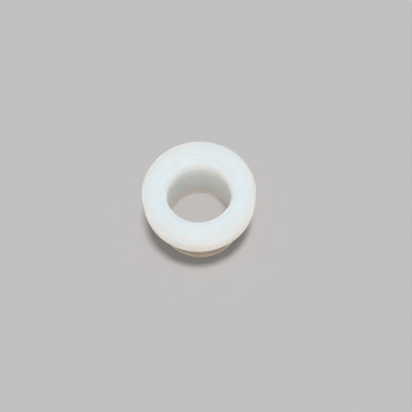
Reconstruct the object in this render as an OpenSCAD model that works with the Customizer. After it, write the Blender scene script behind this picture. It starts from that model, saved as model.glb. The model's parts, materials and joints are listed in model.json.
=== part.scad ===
// Flanged spacer: a short round sleeve with a thick flange at its upper end
// and one straight bore through both, moulded as a single piece.
// It stands on the sleeve's free end, at z = 0, with the flange on top.
// Millimetres, with +Z up along the axis of the bore.

/* [Bore] */
// Diameter of the bore
bore_d = 12; // [6:0.5:30]

/* [Sleeve] */
// Wall of the sleeve, from the bore to its outside
sleeve_wall = 1.75; // [1.2:0.05:4]
// Length of the sleeve below the flange
sleeve_length = 8.9; // [3:0.1:30]

/* [Flange] */
// How far the flange stands out past the sleeve
flange_reach = 2.5; // [1.5:0.05:8]
// Thickness of the flange
flange_thickness = 4.3; // [1.8:0.1:8]

/* [Edges] */
// Radius of the soft lip where the bore opens through the flange
lip_radius = 1.05; // [0.1:0.05:1.2]
// Radius of the flange's upper rim
upper_rim_radius = 0.6; // [0.1:0.05:0.8]
// Radius of the flange's lower rim
lower_rim_radius = 0.2; // [0.1:0.05:0.7]
// Radius of the fillet in the corner between the sleeve and the flange
root_radius = 0.3; // [0.1:0.05:0.7]
// Radius of the edge round the outside of the sleeve's free end
end_outer_radius = 0.1; // [0.1:0.05:0.4]
// Radius of the edge round the bore at the sleeve's free end
end_inner_radius = 0.1; // [0.1:0.05:0.4]

/* [Hidden] */
$fn = 96;

bore_r = bore_d / 2;
sleeve_r = bore_r + sleeve_wall;
flange_r = sleeve_r + flange_reach;
height = sleeve_length + flange_thickness;

// What lies outside an arc in a square corner. The corner is at the origin,
// and the arc's centre is one radius away from it along dir = [+-1, +-1].
module corner(radius, dir) {
    difference() {
        translate([min(0, dir.x * radius), min(0, dir.y * radius)])
            square(radius);
        translate(dir * radius)
            circle(radius);
    }
}

// Half of the spacer's section: x is the distance from the axis, y the height.
module section() {
    difference() {
        union() {
            translate([bore_r, 0])
                square([sleeve_wall, height]);
            translate([bore_r, sleeve_length])
                square([flange_r - bore_r, flange_thickness]);
            translate([sleeve_r, sleeve_length])
                corner(root_radius, [1, -1]);
        }
        translate([bore_r, height])
            corner(lip_radius, [1, -1]);
        translate([flange_r, height])
            corner(upper_rim_radius, [-1, -1]);
        translate([flange_r, sleeve_length])
            corner(lower_rim_radius, [-1, 1]);
        translate([sleeve_r, 0])
            corner(end_outer_radius, [-1, 1]);
        translate([bore_r, 0])
            corner(end_inner_radius, [1, 1]);
    }
}

module spacer() {
    color([0.88, 0.91, 0.92])
        rotate_extrude()
            section();
}

spacer();
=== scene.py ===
import json
import math

import bpy
from mathutils import Euler, Matrix, Vector


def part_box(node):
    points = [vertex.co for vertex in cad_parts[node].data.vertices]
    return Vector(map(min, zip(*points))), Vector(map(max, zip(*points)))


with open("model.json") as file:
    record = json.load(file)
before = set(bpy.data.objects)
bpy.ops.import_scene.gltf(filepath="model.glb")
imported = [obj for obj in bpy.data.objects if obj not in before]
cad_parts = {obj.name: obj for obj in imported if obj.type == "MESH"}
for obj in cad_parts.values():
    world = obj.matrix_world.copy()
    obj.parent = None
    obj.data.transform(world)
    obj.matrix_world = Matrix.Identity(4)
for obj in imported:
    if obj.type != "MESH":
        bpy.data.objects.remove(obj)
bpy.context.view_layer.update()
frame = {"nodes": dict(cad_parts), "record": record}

mm = 0.001
spacer = frame["nodes"]["spacer"]
mounts = {mount["name"]: mount for mount in frame["record"]["mounts"]}
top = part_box("spacer")[1]  # the part's highest corner: the flange's radius twice, and the height
flangeRadius, height = top[0], top[2]
underside = mounts["flange_underside"]["pos_m"][2]
boreRadius = mounts["bore"]["dims"]["r_mm"] * mm
sleeveRadius = mounts["sleeve"]["dims"]["r_mm"] * mm
print("frame loaded")


def hexColor(text, alpha=1.0):  # sRGB hex to linear
    channels = [int(text[i:i + 2], 16) / 255 for i in (0, 2, 4)]
    return [c / 12.92 if c <= 0.04045 else ((c + 0.055) / 1.055) ** 2.4 for c in channels] + [alpha]


def addNode(tree, kind, settings=None, links=None):  # links: {input name or number: output socket}
    node = tree.nodes.new(kind)
    for name, value in (settings or {}).items():
        if isinstance(name, int) or name in node.inputs:
            node.inputs[name].default_value = value
        else:
            setattr(node, name, value)
    for name, socket in (links or {}).items():
        tree.links.new(socket, node.inputs[name])
    return node


def newMaterial(name):
    material = bpy.data.materials.new(name)
    material.use_nodes = True
    material.node_tree.nodes.clear()
    return material


# Camera: stands in front of the part and looks steeply down on it
camera = {"elevation": 64.49, "distance": 147.57 * mm, "lens": 65.56, "sensor": 36, "roll": -2.55,
          "aim": (1.165 * mm, 3.045 * mm, 0), "nearest": 10 * mm}
cameraData = bpy.data.cameras.new("camera")
cameraData.lens = camera["lens"]
cameraData.sensor_width = camera["sensor"]
cameraData.clip_start = camera["nearest"]
cameraObject = bpy.data.objects.new("camera", cameraData)
tilt = Euler((math.radians(90 - camera["elevation"]), 0, 0)).to_matrix()
turn = Matrix.Rotation(math.radians(camera["roll"]), 3, "Z")
cameraObject.matrix_world = (tilt @ turn).to_4x4()
cameraObject.location = Vector(camera["aim"]) + tilt @ Vector((0, 0, camera["distance"]))
bpy.context.scene.collection.objects.link(cameraObject)
bpy.context.scene.camera = cameraObject
print("camera placed")

# Floor: a wide sheet of matt pale paper
floorLook = {"side": 6.0, "color": "B2AFAC"}
half = floorLook["side"] / 2
floorCorners = [(-half, -half, 0), (half, -half, 0), (half, half, 0), (-half, half, 0)]
floorMesh = bpy.data.meshes.new("studioFloor")
floorMesh.from_pydata(floorCorners, [], [(0, 1, 2, 3)])
paper = newMaterial("matt backdrop paper")
sheet = addNode(paper.node_tree, "ShaderNodeBsdfDiffuse", {"Color": hexColor(floorLook["color"])})
addNode(paper.node_tree, "ShaderNodeOutputMaterial", links={"Surface": sheet.outputs[0]})
floorMesh.materials.append(paper)
floor = bpy.data.objects.new("studioFloor", floorMesh)
bpy.context.scene.collection.objects.link(floor)
print("floor laid")

# Light: one broad overhead lamp that leans a little to the front and the right, and a weak even fill
lampLook = {"strength": 2.6, "color": "F8FAFF", "front": 4, "right": 3, "spread": 10}
lampData = bpy.data.lights.new("overheadLamp", "SUN")
lampData.energy = lampLook["strength"]
lampData.color = hexColor(lampLook["color"])[:3]
lampData.angle = math.radians(lampLook["spread"])
lamp = bpy.data.objects.new("overheadLamp", lampData)
lamp.rotation_euler = Euler((math.radians(lampLook["front"]), math.radians(lampLook["right"]), 0))
bpy.context.scene.collection.objects.link(lamp)

# The fill is a plain studio: brighter round the horizon, where its pale walls stand, than overhead
fill = {"color": "E6EAEE", "walls": 1.6, "ceiling": 0.2, "wallTop": 15, "ceilingEdge": 45,
        "backdrop": "C0C0C0"}
world = bpy.data.worlds.new("studio")
world.use_nodes = True
bpy.context.scene.world = world
tree = world.node_tree
around = addNode(tree, "ShaderNodeTexCoord").outputs["Generated"]
direction = addNode(tree, "ShaderNodeSeparateXYZ", links={"Vector": around})
glow = addNode(tree, "ShaderNodeMapRange", {
    "From Min": math.sin(math.radians(fill["wallTop"])),
    "From Max": math.sin(math.radians(fill["ceilingEdge"])),
    "To Min": fill["walls"], "To Max": fill["ceiling"],
}, {"Value": direction.outputs["Z"]})
sky = tree.nodes["Background"]
sky.inputs["Color"].default_value = hexColor(fill["color"])
tree.links.new(glow.outputs[0], sky.inputs["Strength"])
backdrop = addNode(tree, "ShaderNodeBackground", {"Color": hexColor(fill["backdrop"]), "Strength": 1.0})
ray = addNode(tree, "ShaderNodeLightPath")
seen = addNode(tree, "ShaderNodeMath", {"operation": "MAXIMUM"},
               {0: ray.outputs["Is Camera Ray"], 1: ray.outputs["Is Glossy Ray"]})
surround = addNode(tree, "ShaderNodeMixShader",
                   links={0: seen.outputs[0], 1: sky.outputs[0], 2: backdrop.outputs[0]})
tree.links.new(surround.outputs[0], tree.nodes["World Output"].inputs["Surface"])
print("lights set")

# Natural nylon, injection moulded: a milky body that scatters blue light first, so it looks cool
# where light enters it and warm where light has come a long way through, under a satin skin.
# Each stop is the level it is measured from, the mm above that, a tint and a share: how milky the
# skin is there (the thin sleeve lets more light through), or in the two matt-layer lists how much of
# the matt layer shows. Many tints are painted light and shade, not the nylon's own colour.
# Each speck is its place on the flange's top in mm, its radius and how chalky it is
nylonLook = {
    "ior": 1.53, "roughness": (0.19, 0.26), "finish": {"size": 1.8 * mm, "detail": 5.0, "range": (0.3, 0.7)},
    "scatter": "CBF6FF", "scatterDensity": 700, "forward": 0.3,
    "soak": "FFE6B4", "soakDensity": 3,
    "outside": [
        # The sleeve's warm beige (FFECD8) is painted shade: the dim, warm light under the flange's overhang.
        ("end", 0, "FFF9F0", 0.9), ("end", 0.3, "FFF9F0", 0.9), ("end", 1.7, "FFECD8", 0.42),
        ("flange", -0.02, "FFECD8", 0.42), ("flange", 0.02, "FEFDFA", 0.9), ("flange", 1.6, "FBFBF9", 0.9),
        # The greyer band (F7F8F8) on the flange's rounded top rim is painted shade that dims the lamp's
        # highlight there.
        ("top", -0.8, "FBFCFD", 0.9), ("top", -0.5, "F7F8F8", 0.9), ("top", -0.08, "F7F8F8", 0.9),
        ("top", -0.01, "FEFFFF", 0.9),
    ],
    "inside": [
        # Up the bore wall the tints are painted light and shade: a warm foot where light that came down the
        # wall leaves, a darker step at 8 mm, and a painted glow above 9.5 mm, where the thick flange
        # surrounds the bore.
        ("end", 0, "FFFAF4", 0.9), ("end", 0.3, "FFFAF4", 0.9), ("end", 1.8, "FFFEFC", 0.87),
        ("end", 3.2, "F7FEFF", 0.84), ("end", 7.95, "F1FDFF", 0.79), ("end", 8.05, "F9FFFF", 0.86),
        ("flange", 0.55, "F6FEFF", 0.82), ("flange", 0.65, "FFFFFF", 0.95), ("top", -1.0, "F9FEFD", 0.9),
        # The greyer bands on the bore's rounded lip are painted shade that dims the lamp's highlight there.
        ("top", -0.4, "F8FAFA", 0.9), ("top", -0.06, "FCFDFC", 0.9), ("top", -0.01, "F6F8F8", 0.9),
    ],
    # The matt band at the sleeve's end is painted light: light that has come down the wall and leaves at the
    # end.
    "outsideMarksAndGlow": [
        ("end", 0, "F0DDC9", 0.72), ("end", 0.4, "F0DDC9", 0.72), ("end", 1.6, "F0DDC9", 0),
        ("flange", -0.2, "FFF4E8", 0), ("flange", 0.2, "FFFFFF", 0),
    ],
    "insideMarksAndGlow": [
        ("end", 0, "FFF9F0", 0.85), ("end", 0.4, "FFF9F0", 0.85), ("end", 2.3, "FFF9F0", 0),
    ],
    "sideEdge": 0.3 * mm,  # how far into the wall its inside and its outside start to blend
    "underBand": 0.03 * mm,  # how near the flange's underside counts as the underside
    # The warmer outer rim is painted light: the warm tone of light that has come through the plastic.
    "rim": {"color": "FEFBF7", "reach": 1.85 * mm, "edge": 0.15 * mm},
    "mottle": {"color": "FCFDFE", "size": 2.6 * mm, "detail": 3.0},
    "grain": {"size": 0.12 * mm, "detail": 2.0, "depth": 0.002 * mm, "strength": 0.3},
    "specks": [
        (-1.1, -9.0, 0.35, 0.45), (-0.5, -8.3, 0.4, 0.45), (-0.9, -8.7, 0.3, 0.3), (2.8, -8.3, 0.3, 0.35),
        (5.7, -7.1, 0.3, 0.35), (-8.5, -1.9, 0.3, 0.35), (-6.3, 3.25, 0.3, 0.15), (-6.0, 3.35, 0.35, 0.22),
        # The broad speck at (7.2, 1.6) is a painted sheen: a faint lighter patch.
        (-5.7, 3.45, 0.35, 0.22), (7.7, 3.1, 0.4, 0.25), (7.2, 1.6, 1.5, 0.12),
    ],
}


def mouldedNylon(look):
    material = newMaterial("natural nylon, moulded")
    tree = material.node_tree
    place = addNode(tree, "ShaderNodeTexCoord").outputs["Object"]
    parts = addNode(tree, "ShaderNodeSeparateXYZ", links={"Vector": place})
    rise = addNode(tree, "ShaderNodeMath", {"operation": "DIVIDE", 1: height}, {0: parts.outputs["Z"]})
    flat = addNode(tree, "ShaderNodeVectorMath", {"operation": "MULTIPLY", 1: (1, 1, 0)}, {0: place})
    radius = addNode(tree, "ShaderNodeVectorMath", {"operation": "LENGTH"}, {0: flat.outputs["Vector"]})

    # Ramps up the part's height, and the way from the bore's side of the wall to its outside
    levels = {"end": 0, "flange": underside, "top": height}
    ramps = {}
    for name in ("inside", "outside", "insideMarksAndGlow", "outsideMarksAndGlow"):
        ramps[name] = addNode(tree, "ShaderNodeValToRGB", links={"Fac": rise.outputs[0]})
        points = ramps[name].color_ramp.elements
        while len(points) < len(look[name]):
            points.new(0.5)
        for point, (level, above, color, share) in zip(points, look[name]):
            point.position = (levels[level] + above * mm) / height
            point.color = hexColor(color, share)
    side = addNode(tree, "ShaderNodeMapRange", {
        "From Min": boreRadius + look["sideEdge"], "From Max": sleeveRadius - look["sideEdge"],
    }, {"Value": radius.outputs["Value"]}).outputs[0]
    toneAndShade = addNode(tree, "ShaderNodeMix", {"data_type": "RGBA"},
                   {0: side, 6: ramps["inside"].outputs["Color"], 7: ramps["outside"].outputs["Color"]})
    share = addNode(tree, "ShaderNodeMix", {"data_type": "FLOAT"},
                    {0: side, 2: ramps["inside"].outputs["Alpha"], 3: ramps["outside"].outputs["Alpha"]})

    # The flange's outer rim is a little warmer, painted warm light that has come through the plastic, and
    # the whole body is faintly clouded
    rim = look["rim"]
    nearRim = addNode(tree, "ShaderNodeMapRange", {
        "From Min": flangeRadius - rim["reach"], "From Max": flangeRadius - rim["edge"],
    }, {"Value": radius.outputs["Value"]})
    tint = addNode(tree, "ShaderNodeMix",
                   {"data_type": "RGBA", "blend_type": "MULTIPLY", 7: hexColor(rim["color"])},
                   {0: nearRim.outputs[0], 6: toneAndShade.outputs[2]})
    mottle = look["mottle"]
    cloud = addNode(tree, "ShaderNodeTexNoise", {"Scale": 1 / mottle["size"], "Detail": mottle["detail"]},
                    {"Vector": place})
    cloudy = addNode(tree, "ShaderNodeMix",
                     {"data_type": "RGBA", "blend_type": "MULTIPLY", 7: hexColor(mottle["color"])},
                     {0: cloud.outputs["Fac"], 6: tint.outputs[2]})

    # The skin: satin, a little uneven in gloss, with a very fine grain
    finish = look["finish"]
    sheen = addNode(tree, "ShaderNodeTexNoise", {"Scale": 1 / finish["size"], "Detail": finish["detail"]},
                    {"Vector": place})
    gloss = addNode(tree, "ShaderNodeMapRange", {
        "From Min": finish["range"][0], "From Max": finish["range"][1],
        "To Min": look["roughness"][0], "To Max": look["roughness"][1],
    }, {"Value": sheen.outputs["Fac"]})
    grain = look["grain"]
    pores = addNode(tree, "ShaderNodeTexNoise", {"Scale": 1 / grain["size"], "Detail": grain["detail"]},
                    {"Vector": place})
    bump = addNode(tree, "ShaderNodeBump", {"Strength": grain["strength"], "Distance": grain["depth"]},
                   {"Height": pores.outputs["Fac"]})
    skin = addNode(tree, "ShaderNodeBsdfPrincipled", {"IOR": look["ior"], "Transmission Weight": 1.0}, {
        "Base Color": cloudy.outputs[2], "Roughness": gloss.outputs[0], "Normal": bump.outputs[0],
    })
    milk = addNode(tree, "ShaderNodeBsdfTranslucent", links={"Color": cloudy.outputs[2]})
    surface = addNode(tree, "ShaderNodeMixShader",
                      links={0: share.outputs[0], 1: skin.outputs[0], 2: milk.outputs[0]})

    # A matt layer: painted glow at the sleeve's end, where light that comes down the wall leaves; a matt
    # white underside on the flange that throws light back in, to brighten the flange's lower side; and small
    # chalky specks on its top
    under = addNode(tree, "ShaderNodeMath", {"operation": "COMPARE", 1: underside, 2: look["underBand"]},
                    {0: parts.outputs["Z"]})
    outer = addNode(tree, "ShaderNodeMath", {"operation": "MULTIPLY"}, {0: under.outputs[0], 1: side})
    endGlowShare = addNode(tree, "ShaderNodeMix", {"data_type": "FLOAT"}, {
        0: side, 2: ramps["insideMarksAndGlow"].outputs["Alpha"], 3: ramps["outsideMarksAndGlow"].outputs["Alpha"],
    })
    matt = addNode(tree, "ShaderNodeMath", {"operation": "MAXIMUM"},
                   {0: endGlowShare.outputs[0], 1: outer.outputs[0]})
    for x, y, size, amount in look["specks"]:
        gap = addNode(tree, "ShaderNodeVectorMath", {"operation": "DISTANCE", 1: (x * mm, y * mm, height)},
                      {0: place})
        speck = addNode(tree, "ShaderNodeMapRange", {"From Max": size * mm, "To Min": amount, "To Max": 0},
                        {"Value": gap.outputs["Value"]})
        matt = addNode(tree, "ShaderNodeMath", {"operation": "MAXIMUM"},
                       {0: matt.outputs[0], 1: speck.outputs[0]})
    marksAndGlowTone = addNode(tree, "ShaderNodeMix", {"data_type": "RGBA"}, {
        0: side, 6: ramps["insideMarksAndGlow"].outputs["Color"], 7: ramps["outsideMarksAndGlow"].outputs["Color"],
    })
    marksAndGlowLayer = addNode(tree, "ShaderNodeBsdfDiffuse", links={"Color": marksAndGlowTone.outputs[2]})
    body = addNode(tree, "ShaderNodeMixShader",
                   links={0: matt.outputs[0], 1: surface.outputs[0], 2: marksAndGlowLayer.outputs[0]})

    # The body: a dense haze that scatters red light least, and soaks up a little blue
    haze = addNode(tree, "ShaderNodeVolumeScatter", {
        "Color": hexColor(look["scatter"]), "Density": look["scatterDensity"], "Anisotropy": look["forward"],
    })
    soak = addNode(tree, "ShaderNodeVolumeAbsorption",
                   {"Color": hexColor(look["soak"]), "Density": look["soakDensity"]})
    depth = addNode(tree, "ShaderNodeAddShader", links={0: haze.outputs[0], 1: soak.outputs[0]})
    addNode(tree, "ShaderNodeOutputMaterial", links={"Surface": body.outputs[0], "Volume": depth.outputs[0]})
    return material


for slot in spacer.material_slots:
    slot.material = mouldedNylon(nylonLook)
print("nylon applied")

# Light needs many turns inside the milky body before it leaves again
lightTurns = {"each": 64, "total": 128}
cycles = bpy.context.scene.cycles
cycles.volume_bounces = lightTurns["each"]
cycles.transmission_bounces = lightTurns["each"]
cycles.diffuse_bounces = lightTurns["each"]
cycles.max_bounces = lightTurns["total"]
bpy.context.scene.view_settings.view_transform = "Standard"
